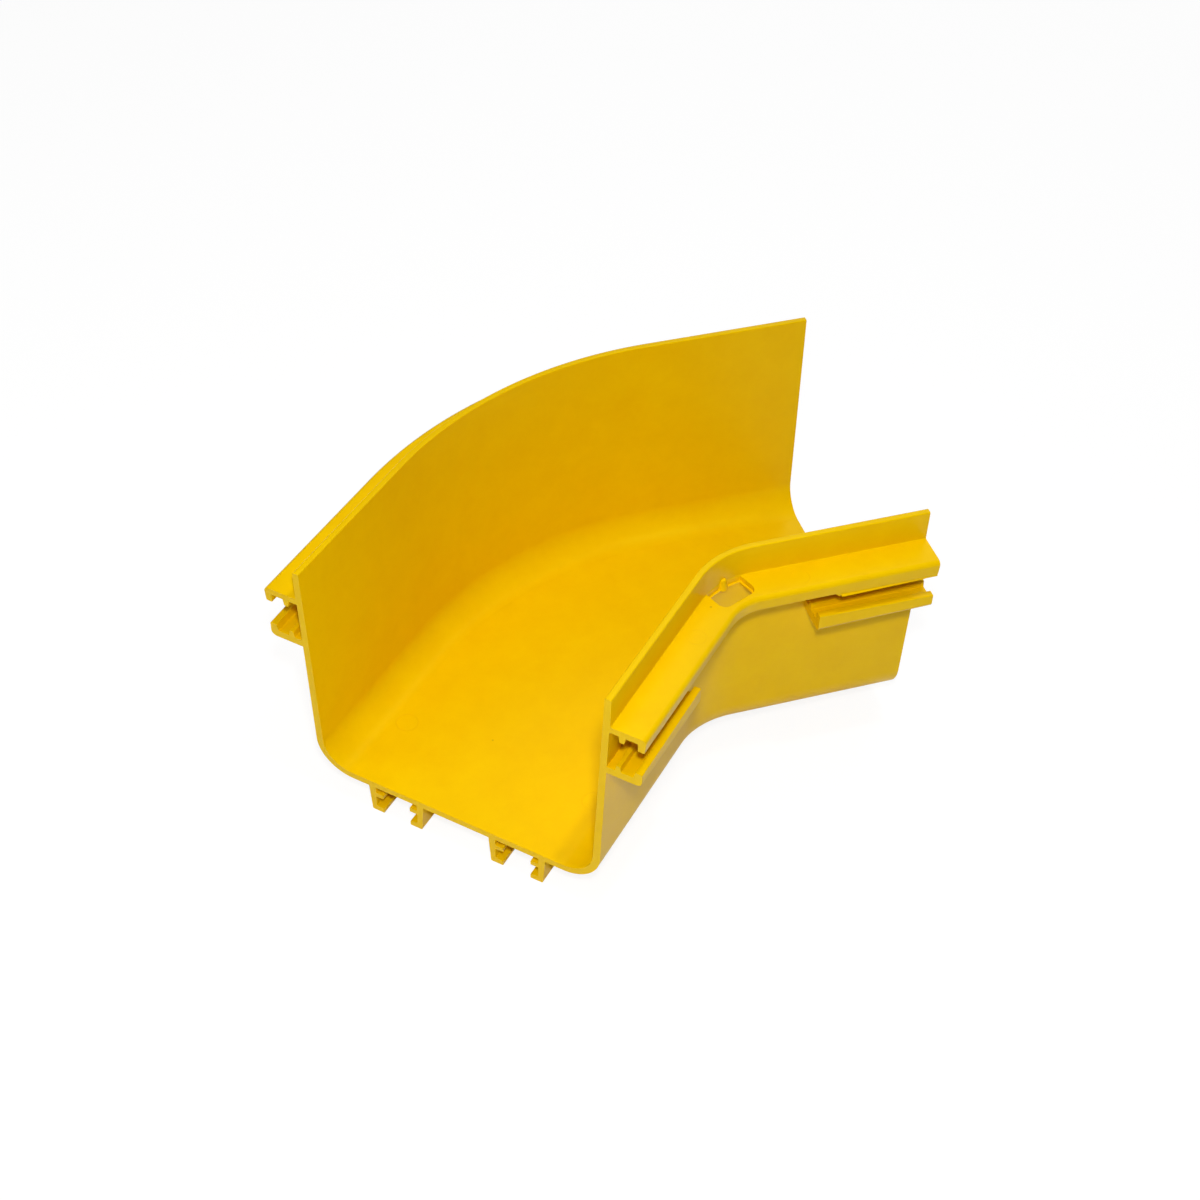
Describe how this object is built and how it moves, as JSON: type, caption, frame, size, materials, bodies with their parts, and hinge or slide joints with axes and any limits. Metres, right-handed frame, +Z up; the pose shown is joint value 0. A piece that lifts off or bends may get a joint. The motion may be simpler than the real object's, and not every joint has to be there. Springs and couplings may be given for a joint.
{
  "type": "fibre raceway horizontal elbow",
  "caption": "Open-top U-shaped channel elbow turning 45 degrees in the flat, with lipped shelves outside both walls, coupler rails at both mouths and a cover catch on the inner bend.",
  "frame": {"origin": "middle of the footprint's bounding rectangle, on the plane the feet rest on", "axes": "+X across the bend from one mouth to the other, +Y towards the long outer wall of the bend, +Z up out of the open channel; X = 0 is the mirror plane between the two arms"},
  "size_m": [0.2566, 0.1794, 0.1113],
  "materials": {
    "yellow_plastic": "moulded yellow thermoplastic with a satin gloss"
  },
  "bodies": {
    "root": {"raceway_elbow": "yellow_plastic"}
  },
  "joints": []
}
